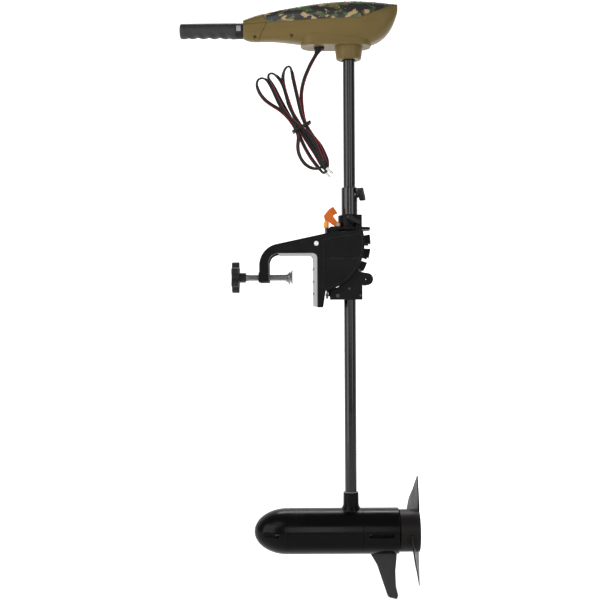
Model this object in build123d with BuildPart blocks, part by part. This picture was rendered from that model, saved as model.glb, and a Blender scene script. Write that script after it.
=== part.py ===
from build123d import *
import os
from math import cos, pi, radians, sin, tan

# Transom-mount electric trolling motor, in millimetres.
# The origin is on the seat of the transom clamp, midway between the two clamp screws.
# +X points aft, away from the boat, and +Z points up. The motor hangs from the clamp.

os.makedirs("parts", exist_ok=True)

# ---------------------------------------------------------------- driving dimensions
SHAFT_X = 77.0              # steering axis behind the seat face
SHAFT_RADIUS = 12.5
SHAFT_WALL = 2.0
FIT = 0.05                  # radial play of a running fit
GAP = 0.4                   # play between loosely fitting parts

PIVOT_X, PIVOT_Z = 6.0, 69.0            # tilt axis, along Y
CHEEK_INNER, CHEEK_OUTER = 38.0, 58.0   # the two cheeks lie between these, each side of Y = 0
QUADRANT_RADIUS = 99.0                  # rim of the cheeks about the tilt axis
TOOTH_RADIUS = 112.5                    # tips of the tilt teeth
SLOT_ROOT_RADIUS = 98.0
SLOT_PITCH = 15.0                       # degrees between two tilt positions
SLOT_COUNT = 5
FIRST_SLOT = 3.0                        # degrees below the horizontal
SLOT_WIDTH = 10.0

SEAT_THICKNESS = 8.0
LEG_BOTTOM = -62.6
ARM_UNDERSIDE = 49.3
ARM_FRONT, ARM_INNER = -111.4, -92.4
CLAMP_SPACING = 96.0                    # between the two clamp screws
CLAMP_SCREW_RADIUS = 6.0
FOOT_FACE_X = -43.0                     # near clamp foot, facing the seat
FAR_RETRACTION = 6.0                    # the far screw stands further back

DECK_BOTTOM, DECK_TOP = 98.7, 104.0     # top flange of the tilt carrier
CARRIER_BOTTOM = -47.0
RING_TOP = 130.0                        # steering tension ring, on the deck
RING_RADIUS = 24.0
BUSHING_RADIUS = 15.5
COLLAR_TOP = 188.6
COLLAR_RADIUS = 17.1

LEVER_X, LEVER_Z = 51.5, 109.2          # release lever pivot
LEVER_Y = -20.0                         # plane of the lever, the rod and the pawl's fork
ROD_X = 28.5
PAWL_X, PAWL_Z = 50.0, -38.5            # lock pawl pivot
LOCK_BAR_X, LOCK_BAR_Z = 85.2, -18.9    # lock bar when released

MOTOR_Z = -532.6
MOTOR_RADIUS = 48.0
NOSE_TIP, NOSE_SEAM = -126.4, -56.0
REAR_SEAM, REAR_END = 101.4, 177.0
HUB_FRONT, HUB_END = 178.6, 219.5
HUB_RADIUS = 44.0
PROP_RADIUS = 115.0
STRUT_TOP = -451.0

SOCKET_BOTTOM = 456.5                   # shaft socket under the head
TILLER_Z = 519.0
HEAD_WALL = 3.0


# ---------------------------------------------------------------- helpers
def save(builder, label):
    """Name a finished piece and write it."""
    builder.part.label = label
    export_step(builder.part, f"parts/{label}.step")


def closed_outline(points, radii=0.0, mode=Mode.ADD):
    """Fill a closed outline whose corners are rounded by the given radii."""
    with BuildLine() as outline:
        FilletPolyline(*points, radius=radii, close=True)
    make_face(outline.edges(), mode=mode)


def rod_x(x0, x1, radius, y=0.0, z=0.0, mode=Mode.ADD):
    """Cylinder along X."""
    with BuildSketch(Plane.YZ.offset(x0)) as section:
        with Locations((y, z)):
            Circle(radius)
    extrude(section.sketch, amount=x1 - x0, mode=mode)


def rod_y(y0, y1, radius, x, z, mode=Mode.ADD):
    """Cylinder along Y."""
    with BuildSketch(Plane.XZ.offset(-y0)) as section:
        with Locations((x, z)):
            Circle(radius)
    extrude(section.sketch, amount=y0 - y1, mode=mode)


def rod_z(z0, z1, radius, x, y=0.0, mode=Mode.ADD):
    """Cylinder along Z."""
    with BuildSketch(Plane.XY.offset(z0)) as section:
        with Locations((x, y)):
            Circle(radius)
    extrude(section.sketch, amount=z1 - z0, mode=mode)


def block(x_range, y_range, z_range, mode=Mode.ADD):
    """Box between pairs of coordinates."""
    spans = [high - low for low, high in (x_range, y_range, z_range)]
    middle = tuple((low + high) / 2 for low, high in (x_range, y_range, z_range))
    with Locations(middle):
        Box(*spans, mode=mode)


def side_plate(points, radii, y0, y1, mode=Mode.ADD):
    """Plate with a side-view outline, from y0 to y1."""
    with BuildSketch(Plane.XZ.offset(-y0)) as section:
        closed_outline(points, radii)
    extrude(section.sketch, amount=y0 - y1, mode=mode)


def about_pivot(radius, degrees_below):
    """Point at a radius and an angle below the horizontal, about the tilt axis."""
    angle = radians(degrees_below)
    return PIVOT_X + radius * cos(angle), PIVOT_Z - radius * sin(angle)


# ---------------------------------------------------------------- transom clamp
near_y, far_y = -CLAMP_SPACING / 2, CLAMP_SPACING / 2
LEG_BACK_TOP, LEG_BACK_BOTTOM = 22.0, 19.6
BRIDGE_FRONT, BRIDGE_THICKNESS = -72.0, 5.0

arm_outline = [(ARM_FRONT, -4), (ARM_FRONT, 60.6), (27, 90.1), (27, -20), (24.3, -31.9),
               (LEG_BACK_BOTTOM, LEG_BOTTOM), (SEAT_THICKNESS, LEG_BOTTOM),
               (SEAT_THICKNESS, ARM_UNDERSIDE), (ARM_INNER, ARM_UNDERSIDE), (ARM_INNER, -4)]
arm_radii = [3, 45, 0, 0, 6, 3, 3, 10, 20, 3]
quadrant_frame = [(20, -45), (20, 88), (27, 90.1), (101.2, 97), (120, 97), (120, -45)]
panel_frame = [(21, -30), (21, 76.5), (60, 83), (120, 90), (120, -60), (50, -60)]

with BuildPart() as clamp_frame:
    with BuildSketch(Plane.XZ.offset(CHEEK_INNER)):
        with Locations((PIVOT_X, PIVOT_Z)):
            Circle(QUADRANT_RADIUS)
        with BuildLine():
            Polyline(*quadrant_frame, close=True)
        make_face(mode=Mode.INTERSECT)
        closed_outline(arm_outline, arm_radii)
    extrude(amount=CHEEK_OUTER - CHEEK_INNER)
    chamfer(clamp_frame.faces().sort_by(Axis.Y)[0].edges(), 1.2)
    # sunk side panel with a crease across it
    with BuildSketch(Plane.XZ.offset(CHEEK_OUTER)) as panel:
        with Locations((PIVOT_X, PIVOT_Z)):
            Circle(QUADRANT_RADIUS - 5)
        with BuildLine():
            Polyline(*panel_frame, close=True)
        make_face(mode=Mode.INTERSECT)
    extrude(amount=-1.2, mode=Mode.SUBTRACT)
    block((21, 92), (-CHEEK_OUTER, -CHEEK_OUTER + 2), (36.8, 38.2), mode=Mode.SUBTRACT)
    # threaded boss for the clamp screw
    rod_x(ARM_FRONT - 1.6, ARM_INNER + 0.1, 11.0, near_y)
    rod_x(ARM_FRONT - 2, ARM_INNER + 1, CLAMP_SCREW_RADIUS + 0.2, near_y, mode=Mode.SUBTRACT)
    rod_y(-CHEEK_OUTER, -CHEEK_INNER, 4.0, PIVOT_X, PIVOT_Z, mode=Mode.SUBTRACT)
    mirror(about=Plane.XZ)
    # seat leg and the bridge under the arms
    side_plate([(SEAT_THICKNESS, LEG_BOTTOM), (LEG_BACK_BOTTOM, LEG_BOTTOM), (LEG_BACK_TOP, -31.9),
                (LEG_BACK_TOP, ARM_UNDERSIDE), (SEAT_THICKNESS, ARM_UNDERSIDE)],
               0, CHEEK_INNER + 1, -CHEEK_INNER - 1)
    block((BRIDGE_FRONT, LEG_BACK_TOP), (-CHEEK_INNER - 1, CHEEK_INNER + 1),
          (ARM_UNDERSIDE, ARM_UNDERSIDE + BRIDGE_THICKNESS))
save(clamp_frame, "clamp_frame")

# toothed plates inside the cheeks, which hold the tilt positions
QUADRANT_INNER, QUADRANT_ROOT_RADIUS = 29.0, 68.0
last_slot = FIRST_SLOT + SLOT_PITCH * (SLOT_COUNT - 1)
wedge_start, wedge_end = FIRST_SLOT - 12.7, last_slot + 12.5
with BuildPart() as tilt_quadrants:
    with BuildSketch(Plane.XZ.offset(QUADRANT_INNER)):
        with Locations((PIVOT_X, PIVOT_Z)):
            Circle(TOOTH_RADIUS)
            Circle(QUADRANT_ROOT_RADIUS, mode=Mode.SUBTRACT)
        with BuildLine():
            Polyline((PIVOT_X, PIVOT_Z), about_pivot(190, wedge_start), about_pivot(190, 32),
                     about_pivot(190, wedge_end), close=True)
        make_face(mode=Mode.INTERSECT)
        with Locations((PIVOT_X, PIVOT_Z)):
            with PolarLocations((SLOT_ROOT_RADIUS + TOOTH_RADIUS + 4) / 2, SLOT_COUNT,
                                -last_slot, last_slot - FIRST_SLOT, endpoint=True):
                Rectangle(TOOTH_RADIUS + 4 - SLOT_ROOT_RADIUS, SLOT_WIDTH, mode=Mode.SUBTRACT)
    extrude(amount=CHEEK_INNER - QUADRANT_INNER)
    mirror(about=Plane.XZ)
save(tilt_quadrants, "tilt_quadrants")

# soft seat pad, with a thin liner under the arms
PAD_HALF_WIDTH = 56.0
GROOVE_PITCH, TOP_GROOVE_Z = 25.0, 16.5
with BuildPart() as transom_pad:
    side_plate([(0, -61), (SEAT_THICKNESS, -61), (SEAT_THICKNESS, ARM_UNDERSIDE),
                (BRIDGE_FRONT, ARM_UNDERSIDE), (BRIDGE_FRONT, ARM_UNDERSIDE - 1.6),
                (0, ARM_UNDERSIDE - 1.6)],
               [1, 1, 10, 0, 0, 9], PAD_HALF_WIDTH, -PAD_HALF_WIDTH)
    for row in range(3):
        rod_y(PAD_HALF_WIDTH, -PAD_HALF_WIDTH, 1.7, 0, TOP_GROOVE_Z - GROOVE_PITCH * row,
              mode=Mode.SUBTRACT)
save(transom_pad, "transom_pad")

with BuildPart() as tilt_pivot_bolt:
    rod_y(CHEEK_OUTER + 12, -CHEEK_OUTER, 4.0, PIVOT_X, PIVOT_Z)
    rod_y(-CHEEK_OUTER, -CHEEK_OUTER - 4.2, 5.4, PIVOT_X, PIVOT_Z)
    chamfer(tilt_pivot_bolt.faces().sort_by(Axis.Y)[0].edges(), 1.2)
    with BuildSketch(Plane.XZ.offset(CHEEK_OUTER + 4.2)):
        with Locations((PIVOT_X, PIVOT_Z)):
            RegularPolygon(2.4, 6)
    extrude(amount=-2.2, mode=Mode.SUBTRACT)
save(tilt_pivot_bolt, "tilt_pivot_bolt")

with BuildPart() as tilt_pivot_nut:
    with BuildSketch(Plane.XZ.offset(-CHEEK_OUTER)):
        with Locations((PIVOT_X, PIVOT_Z)):
            RegularPolygon(7.5, 6)
            Circle(4.0, mode=Mode.SUBTRACT)
    extrude(amount=-8)
save(tilt_pivot_nut, "tilt_pivot_nut")


# ---------------------------------------------------------------- clamp screws
KNOB_LOBES = 6


def clamp_set(side, y, setback):
    """Foot, screw and hand knob of one clamp, set back from the near one's place."""
    face = FOOT_FACE_X - setback
    with BuildPart() as foot:
        with BuildSketch(Plane.XY) as profile:
            with BuildLine():
                Polyline((face, 0), (face, 15.8), (face - 1.4, 15.8), (face - 2.2, 12.6),
                         (face - 5.5, 8.6), (face - 9, 7.6), (face - 9, 0), close=True)
            make_face()
        revolve(axis=Axis.X)
        rod_x(face - 9, face - 3.4, 4.0 + GAP, mode=Mode.SUBTRACT)
    foot.part = foot.part.moved(Location((0, y, 0)))
    save(foot, f"{side}_clamp_foot")

    screw_end, hub_face = face - 9.4, face - 95.6
    with BuildPart() as screw:
        rod_x(hub_face - 8, screw_end, CLAMP_SCREW_RADIUS, y)
        rod_x(screw_end, face - 3.9, 4.0, y)
        chamfer(screw.faces().sort_by(Axis.X)[-1].edges(), 0.8)
    save(screw, f"{side}_clamp_screw")

    with BuildPart() as knob:
        rod_x(hub_face - 13.6, hub_face, 9.4, y)
        with BuildSketch(Plane.YZ.offset(hub_face - 29)):
            with Locations((y, 0)):
                Circle(24)
                with PolarLocations(23.4, KNOB_LOBES, 90):
                    Circle(8.0)
                with PolarLocations(29.5, KNOB_LOBES, 90 + 180 / KNOB_LOBES):
                    Circle(6.6, mode=Mode.SUBTRACT)
        extrude(amount=15.4)
        chamfer(knob.faces().sort_by(Axis.X)[0].edges(), 1.5)
        rod_x(hub_face - 8, hub_face, CLAMP_SCREW_RADIUS, y, mode=Mode.SUBTRACT)
    save(knob, f"{side}_clamp_knob")


clamp_set("near", near_y, 0.0)
clamp_set("far", far_y, FAR_RETRACTION)


# ---------------------------------------------------------------- radial clamp screws
def radial_port(azimuth, z):
    """Plane on the shaft's axis whose normal points out at an azimuth, for a radial screw."""
    angle = radians(azimuth)
    return Plane(origin=(SHAFT_X, 0, z), x_dir=(-sin(angle), cos(angle), 0),
                 z_dir=(cos(angle), sin(angle), 0))


def radial_rod(port, start, end, radius, mode=Mode.ADD):
    """Cylinder along a radial port's normal."""
    with BuildSketch(port.offset(start)) as section:
        Circle(radius)
    extrude(section.sketch, amount=end - start, mode=mode)


tension_port = radial_port(-80.0, 118.6)
depth_port = radial_port(-30.0, 173.5)
PORT_RADIUS = 3.3

# ---------------------------------------------------------------- tilt carrier
BODY_FRONT, BODY_HALF_WIDTH = 25.5, 15.8
PLATE_INNER, PLATE_OUTER = 38.6, 42.0
BLOCK_FRONT, BLOCK_BACK = 36.0, 101.0
EAR_X, EAR_Z, EAR_RADIUS = 110.7, -4.5, 12.6
SLEEVE_HALF = CHEEK_INNER - GAP

with BuildPart() as tilt_carrier:
    # column round the shaft, body in front of it, and the tilt sleeve
    rod_z(CARRIER_BOTTOM, 4, 17.0 + 3.0, SHAFT_X)
    rod_z(4, DECK_TOP, 22.0, SHAFT_X)
    block((BODY_FRONT, SHAFT_X), (-BODY_HALF_WIDTH, BODY_HALF_WIDTH), (4, DECK_TOP - 1))
    rod_y(SLEEVE_HALF, -SLEEVE_HALF, 11.5, PIVOT_X, PIVOT_Z)
    block((PIVOT_X, BODY_FRONT), (-BODY_HALF_WIDTH, BODY_HALF_WIDTH), (58.5, 80))
    # deck with a rounded front
    with BuildSketch(Plane.XY.offset(DECK_BOTTOM)):
        closed_outline([(38, -35), (119, -35), (119, 35), (38, 35)], [10, 16, 16, 10])
    extrude(amount=DECK_TOP - DECK_BOTTOM)
    side_plate([(33, 93), (33, 105.4), (52.6, 105.4), (52.6, 93)], [5, 5, 0, 0], 30, -31)
    # lower block: floor, back wall and two outer side plates with ears
    block((BLOCK_FRONT, BLOCK_BACK), (-PLATE_OUTER, PLATE_OUTER), (CARRIER_BOTTOM, -44.5))
    block((95.5, BLOCK_BACK), (-PLATE_OUTER, PLATE_OUTER), (CARRIER_BOTTOM, -13))
    for y_low in (-PLATE_OUTER, PLATE_INNER):
        with BuildSketch(Plane.XZ.offset(-y_low)):
            with BuildLine():
                Polyline((BLOCK_FRONT, CARRIER_BOTTOM), (BLOCK_BACK, CARRIER_BOTTOM),
                         (BLOCK_BACK, -16), (EAR_X, -16), (EAR_X, EAR_Z + EAR_RADIUS),
                         (90, 12), (60, 0), (BLOCK_FRONT, -16), close=True)
            make_face()
            with Locations((EAR_X, EAR_Z)):
                Circle(EAR_RADIUS)
                Circle(3.25, mode=Mode.SUBTRACT)
            with Locations((PIVOT_X, PIVOT_Z)):
                Circle(QUADRANT_RADIUS + 1.3, mode=Mode.SUBTRACT)
        extrude(amount=-(PLATE_OUTER - PLATE_INNER))
    # slotted window in the front of the column, where the pawl's hub lies
    block((30, 59), (-27, 27), (-44.5, -28), mode=Mode.SUBTRACT)
    # room for the pawl's fork and for the ferrule when the lock is engaged
    block((30, 44), (LEVER_Y - 7, LEVER_Y + 7), (CARRIER_BOTTOM - 1, -44), mode=Mode.SUBTRACT)
    rod_z(94.5, DECK_TOP + 3, 6.4, ROD_X - 1, LEVER_Y, mode=Mode.SUBTRACT)
    # bores
    rod_z(CARRIER_BOTTOM - 1, DECK_TOP + 3, SHAFT_RADIUS + 0.6, SHAFT_X, mode=Mode.SUBTRACT)
    rod_z(CARRIER_BOTTOM - 1, CARRIER_BOTTOM + 30, BUSHING_RADIUS, SHAFT_X, mode=Mode.SUBTRACT)
    rod_z(DECK_TOP - 18, DECK_TOP + 3, BUSHING_RADIUS, SHAFT_X, mode=Mode.SUBTRACT)
    rod_y(SLEEVE_HALF, -SLEEVE_HALF, 4.0 + FIT, PIVOT_X, PIVOT_Z, mode=Mode.SUBTRACT)
    rod_y(PLATE_OUTER, -PLATE_OUTER, 3.0, PAWL_X, PAWL_Z, mode=Mode.SUBTRACT)
    # lug for the release lever
    block((30, 60), (LEVER_Y - 5.4, LEVER_Y + 5.4), (101.5, 112), mode=Mode.SUBTRACT)
    side_plate([(46.5, DECK_TOP - 2), (46.5, 114.4), (56, 114.4), (56, DECK_TOP - 2)],
               [0, 4.5, 4.5, 0], LEVER_Y + 8, LEVER_Y + 5.4)
    rod_y(LEVER_Y + 9, LEVER_Y, 2.5, LEVER_X, LEVER_Z, mode=Mode.SUBTRACT)
save(tilt_carrier, "tilt_carrier")

# plain plastic sleeves that the shaft turns in, one at each end of the carrier
with BuildPart() as steering_bushings:
    for z_low, z_high in ((CARRIER_BOTTOM, CARRIER_BOTTOM + 30), (DECK_TOP - 18, RING_TOP - 1)):
        rod_z(z_low, z_high, BUSHING_RADIUS, SHAFT_X)
        rod_z(z_low, z_high, SHAFT_RADIUS + FIT, SHAFT_X, mode=Mode.SUBTRACT)
    radial_rod(tension_port, 0, 20, PORT_RADIUS, mode=Mode.SUBTRACT)
save(steering_bushings, "steering_bushings")

with BuildPart() as steering_ring:
    rod_z(DECK_TOP, RING_TOP, RING_RADIUS, SHAFT_X)
    with BuildSketch(Plane.XY.offset(DECK_TOP)):
        closed_outline([(89, -29.4), (101.5, -29.4), (101.5, 4), (89, 4)], [2, 2, 0, 0])
    extrude(amount=RING_TOP - DECK_TOP)
    radial_rod(tension_port, 20, 29.5, 8.0)
    chamfer(steering_ring.faces().sort_by(Axis.Z)[-1].edges(), 1.0)
    rod_z(DECK_TOP, RING_TOP, BUSHING_RADIUS, SHAFT_X, mode=Mode.SUBTRACT)
    radial_rod(tension_port, 0, 36, PORT_RADIUS, mode=Mode.SUBTRACT)
save(steering_ring, "steering_ring")

with BuildPart() as carrier_screws:
    for x, z in ((97.4, -38.4), (74, -24)):
        rod_y(-PLATE_OUTER, -PLATE_OUTER - 2, 2.4, x, z)
        rod_y(PLATE_OUTER + 2, PLATE_OUTER, 2.4, x, z)
save(carrier_screws, "carrier_screws")

with BuildPart() as lever_pin:
    rod_y(LEVER_Y + 8.2, LEVER_Y - 5.4, 2.5, LEVER_X, LEVER_Z)
    rod_y(LEVER_Y - 5.4, LEVER_Y - 6.4, 3.6, LEVER_X, LEVER_Z)
save(lever_pin, "lever_pin")

with BuildPart() as pawl_pin:
    rod_y(PLATE_OUTER, -PLATE_OUTER, 3.0, PAWL_X, PAWL_Z)
    for y_low in (-PLATE_OUTER - 1.8, PLATE_OUTER):
        rod_y(y_low + 1.8, y_low, 3.9, PAWL_X, PAWL_Z)
save(pawl_pin, "pawl_pin")

# ---------------------------------------------------------------- tilt release
LEVER_HALF = 5.0
with BuildPart() as release_lever:
    with BuildSketch(Plane.XZ.offset(-LEVER_Y - LEVER_HALF)):
        closed_outline([(24, 121.5), (22.5, 128.5), (33.1, 141.5), (41.9, 147), (51.6, 133),
                        (40.5, 128.5), (56.8, 107.4), (50.2, 102.6)],
                       [1.5, 3, 3, 1, 1.5, 3, 4.5, 4.5])
        with Locations((LEVER_X, LEVER_Z)):
            Circle(5.4)
    extrude(amount=2 * LEVER_HALF)
    # three finger slots in each side of the grip
    for step in (0.24, 0.5, 0.76):
        mouth = Vector(42.4 + 9.7 * step, 0, 147.4 - 14 * step)
        inward, along = Vector(-0.822, 0, -0.57), Vector(0.57, 0, -0.822)
        corners = [mouth + along * 0.8, mouth + inward * 8.5 + along * 0.8,
                   mouth + inward * 8.5 - along * 0.8, mouth - along * 0.8]
        slot_outline = [(corner.X, corner.Z) for corner in corners]
        for y_high in (LEVER_Y + LEVER_HALF, LEVER_Y - LEVER_HALF + 1.6):
            side_plate(slot_outline, 0, y_high, y_high - 1.6, mode=Mode.SUBTRACT)
    # mouth for the ferrule's tongue
    block((18, 35.5), (LEVER_Y - 2.3, LEVER_Y + 2.3), (100, 125), mode=Mode.SUBTRACT)
    rod_y(LEVER_Y + 6, LEVER_Y - 6, 2.5 + FIT, LEVER_X, LEVER_Z, mode=Mode.SUBTRACT)
save(release_lever, "release_lever")

with BuildPart() as rod_ferrule:
    rod_z(102.8, 114.8, 5.4, ROD_X - 1, LEVER_Y)
    fillet(rod_ferrule.edges().filter_by(GeomType.CIRCLE), 1.4)
    block((ROD_X - 4.5, ROD_X + 2.5), (LEVER_Y - 1.8, LEVER_Y + 1.8), (112, 121.5))
    rod_z(102.8, 112, 1.5, ROD_X, LEVER_Y, mode=Mode.SUBTRACT)
save(rod_ferrule, "rod_ferrule")

with BuildPart() as release_rod:
    rod_z(-45, 112, 1.5, ROD_X, LEVER_Y)
    for z_low in (-43.6, -36.2):
        rod_z(z_low, z_low + 2.4, 3.2, ROD_X, LEVER_Y)
save(release_rod, "release_rod")

PAWL_HUB_RADIUS = 5.4
with BuildPart() as lock_pawl:
    rod_y(26, -26, PAWL_HUB_RADIUS, PAWL_X, PAWL_Z)
    for y_low in (-26.0, 21.4):
        side_plate([(PAWL_X - 3, PAWL_Z - 4), (PAWL_X + 6, PAWL_Z - 4),
                    (LOCK_BAR_X + 4.4, LOCK_BAR_Z - 3.6), (LOCK_BAR_X + 1.6, LOCK_BAR_Z + 4.6),
                    (PAWL_X - 3, PAWL_Z + 4.8)],
                   [2, 4, 3.4, 3.4, 2], y_low + 4.6, y_low)
    rod_y(37.2, 21.4, 3.8, LOCK_BAR_X, LOCK_BAR_Z)
    rod_y(-21.4, -37.2, 3.8, LOCK_BAR_X, LOCK_BAR_Z)
    # fork that the release rod pulls
    block((25.4, PAWL_X - 3), (LEVER_Y - 5, LEVER_Y + 5), (PAWL_Z - 1.5, PAWL_Z + 1.5))
    block((25, 33), (LEVER_Y - 2, LEVER_Y + 2), (PAWL_Z - 2, PAWL_Z + 2), mode=Mode.SUBTRACT)
    rod_y(27, -27, 3.0 + FIT, PAWL_X, PAWL_Z, mode=Mode.SUBTRACT)
save(lock_pawl, "lock_pawl")


# ---------------------------------------------------------------- wing knobs
def wing_knob_set(prefix, port, reach, wing_turn):
    """Plastic shoe and wing knob of a radial clamp screw, which leaves the shaft along port."""
    with BuildPart() as shoe:
        radial_rod(port, SHAFT_RADIUS + 0.2, SHAFT_RADIUS + 2.6, 3.0)
    save(shoe, f"{prefix}_shoe")

    with BuildPart() as knob:
        radial_rod(port, SHAFT_RADIUS + 2.8, reach + 4, 3.0)
        radial_rod(port, reach, reach + 5.5, 7.0)
        with BuildSketch(port.offset(reach + 3)) as wing:
            with Locations(Location((0, 0, 0), (0, 0, wing_turn))):
                SlotOverall(29, 8.5)
        extrude(wing.sketch, amount=11)
        chamfer(knob.edges().group_by(SortBy.LENGTH)[-1], 1.0)
    save(knob, f"{prefix}_knob")


wing_knob_set("tension", tension_port, 30.6, -28)
wing_knob_set("depth", depth_port, 19.6, -62)

with BuildPart() as depth_collar:
    rod_z(RING_TOP + 0.4, COLLAR_TOP, COLLAR_RADIUS, SHAFT_X)
    chamfer(depth_collar.edges().filter_by(GeomType.CIRCLE), 1.0)
    radial_rod(depth_port, 10, 19, 7.5)
    rod_z(RING_TOP, COLLAR_TOP, SHAFT_RADIUS + FIT, SHAFT_X, mode=Mode.SUBTRACT)
    radial_rod(depth_port, 0, 30, PORT_RADIUS, mode=Mode.SUBTRACT)
save(depth_collar, "depth_collar")

# ---------------------------------------------------------------- shaft and lower unit
SHAFT_BOTTOM, SHAFT_TOP = -486.0, 501.5
with BuildPart() as shaft_tube:
    rod_z(SHAFT_BOTTOM, SHAFT_TOP, SHAFT_RADIUS, SHAFT_X)
    rod_z(SHAFT_BOTTOM, SHAFT_TOP, SHAFT_RADIUS - SHAFT_WALL, SHAFT_X, mode=Mode.SUBTRACT)
save(shaft_tube, "shaft_tube")

with BuildPart() as motor_cable:
    rod_z(SHAFT_BOTTOM + 1, SHAFT_TOP + 8, 4.0, SHAFT_X)
save(motor_cable, "motor_cable")

HOUSING_BORE, SEAM_WIDTH = 44.0, 1.1
with BuildPart() as motor_housing:
    rod_x(NOSE_SEAM, REAR_SEAM, MOTOR_RADIUS, 0, MOTOR_Z)
    with BuildSketch(Plane.XZ):
        with BuildLine():
            Polyline((SHAFT_X, STRUT_TOP), (SHAFT_X + 16.2, STRUT_TOP), (SHAFT_X + 16.6, -478),
                     (SHAFT_X + 21, MOTOR_Z + 46), (SHAFT_X + 24, MOTOR_Z + 38),
                     (SHAFT_X, MOTOR_Z + 38), close=True)
        make_face()
    revolve(axis=Axis((SHAFT_X, 0, 0), (0, 0, 1)))
    rod_x(NOSE_SEAM, REAR_SEAM, HOUSING_BORE, 0, MOTOR_Z, mode=Mode.SUBTRACT)
    rod_z(SHAFT_BOTTOM, STRUT_TOP, SHAFT_RADIUS, SHAFT_X, mode=Mode.SUBTRACT)
    rod_z(MOTOR_Z + 40, SHAFT_BOTTOM, 7.0, SHAFT_X, mode=Mode.SUBTRACT)
    for x in (NOSE_SEAM, REAR_SEAM - SEAM_WIDTH):
        rod_x(x, x + SEAM_WIDTH, MOTOR_RADIUS + 1, 0, MOTOR_Z, mode=Mode.SUBTRACT)
        rod_x(x, x + SEAM_WIDTH, MOTOR_RADIUS - 0.9, 0, MOTOR_Z)
    rod_x(NOSE_SEAM, REAR_SEAM, HOUSING_BORE, 0, MOTOR_Z, mode=Mode.SUBTRACT)
save(motor_housing, "motor_housing")

BOLT_Y, BOLT_RADIUS = 38.2, 2.4
BEARING_RADIUS, BEARING_WIDTH, ROTOR_SHAFT_RADIUS = 13.0, 8.0, 5.0
FRONT_BEARING_X, REAR_BEARING_X = NOSE_SEAM - 10, REAR_SEAM + 40
SPIGOT = 10.0
BOLT_HEAD_X = NOSE_SEAM - 17.0


def o_ring_groove(x):
    """Cut a seal groove round a spigot."""
    rod_x(x, x + 3.2, HOUSING_BORE + 1, 0, MOTOR_Z, mode=Mode.SUBTRACT)
    rod_x(x, x + 3.2, HOUSING_BORE - 2.6, 0, MOTOR_Z)


def bolt_channels(x_low, x_high, half_height, drop=0.0):
    """Cut the two side channels, round-ended, where the through bolts' ends lie."""
    centre = ((x_low + x_high) / 2, MOTOR_Z - drop)
    for y_high in (MOTOR_RADIUS + 5, -BOLT_Y + 5.2):
        with BuildSketch(Plane.XZ.offset(-y_high)) as channel:
            with Locations(centre):
                SlotOverall(x_high - x_low, 2 * half_height)
        extrude(channel.sketch, amount=MOTOR_RADIUS - BOLT_Y + 10.2, mode=Mode.SUBTRACT)


def bolt_holes(x_low, x_high):
    """Cut the clearance holes of the through bolts."""
    for y in (-BOLT_Y, BOLT_Y):
        rod_x(x_low, x_high, BOLT_RADIUS, y, MOTOR_Z, mode=Mode.SUBTRACT)


with BuildPart() as nose_cone:
    with BuildSketch(Plane.XZ):
        with BuildLine():
            nose_arc = EllipticalCenterArc((NOSE_SEAM, MOTOR_Z), NOSE_SEAM - NOSE_TIP,
                                           MOTOR_RADIUS, start_angle=90, arc_size=90)
            Line(nose_arc @ 1, (NOSE_SEAM, MOTOR_Z))
            Line((NOSE_SEAM, MOTOR_Z), nose_arc @ 0)
        make_face()
    revolve(axis=Axis((0, 0, MOTOR_Z), (1, 0, 0)))
    rod_x(NOSE_SEAM, NOSE_SEAM + SPIGOT, HOUSING_BORE, 0, MOTOR_Z)
    o_ring_groove(NOSE_SEAM + 3)
    bolt_channels(NOSE_SEAM - 50, BOLT_HEAD_X, 5.6)
    bolt_holes(BOLT_HEAD_X - 6, NOSE_SEAM + SPIGOT)
    rod_x(NOSE_SEAM - 6, NOSE_SEAM + SPIGOT, 30, 0, MOTOR_Z, mode=Mode.SUBTRACT)
    rod_x(FRONT_BEARING_X - 2, NOSE_SEAM, BEARING_RADIUS, 0, MOTOR_Z, mode=Mode.SUBTRACT)
save(nose_cone, "nose_cone")

with BuildPart() as rear_bell:
    rod_x(REAR_SEAM, REAR_END, MOTOR_RADIUS, 0, MOTOR_Z)
    chamfer(rear_bell.faces().sort_by(Axis.X)[-1].edges(), 1.5)
    rod_x(REAR_SEAM - SPIGOT, REAR_SEAM, HOUSING_BORE, 0, MOTOR_Z)
    o_ring_groove(REAR_SEAM - 6.2)
    bolt_channels(REAR_SEAM + 11, REAR_END - 12, 4.4, 1.5)
    bolt_holes(REAR_SEAM - SPIGOT, REAR_SEAM + 16)
    rod_x(REAR_SEAM - SPIGOT, REAR_BEARING_X - 4, 30, 0, MOTOR_Z, mode=Mode.SUBTRACT)
    rod_x(REAR_BEARING_X - 5, REAR_BEARING_X + BEARING_WIDTH, BEARING_RADIUS, 0, MOTOR_Z,
          mode=Mode.SUBTRACT)
    rod_x(REAR_BEARING_X, REAR_END - 12, ROTOR_SHAFT_RADIUS + 1.5, 0, MOTOR_Z, mode=Mode.SUBTRACT)
    rod_x(REAR_END - 12, REAR_END, 10.0, 0, MOTOR_Z, mode=Mode.SUBTRACT)
save(rear_bell, "rear_bell")

with BuildPart() as end_o_rings:
    for x in (NOSE_SEAM + 4.6, REAR_SEAM - 4.6):
        with BuildSketch(Plane.XZ):
            with Locations((x, MOTOR_Z + HOUSING_BORE - 1.3)):
                Circle(1.3)
        revolve(axis=Axis((0, 0, MOTOR_Z), (1, 0, 0)))
save(end_o_rings, "end_o_rings")

with BuildPart() as through_bolts:
    for y in (-BOLT_Y, BOLT_Y):
        rod_x(BOLT_HEAD_X, REAR_SEAM + 16, BOLT_RADIUS, y, MOTOR_Z)
        rod_x(BOLT_HEAD_X - 8, BOLT_HEAD_X - 4, 3.6, y, MOTOR_Z)
        rod_x(BOLT_HEAD_X - 4, BOLT_HEAD_X, BOLT_RADIUS, y, MOTOR_Z)
save(through_bolts, "through_bolts")

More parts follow.
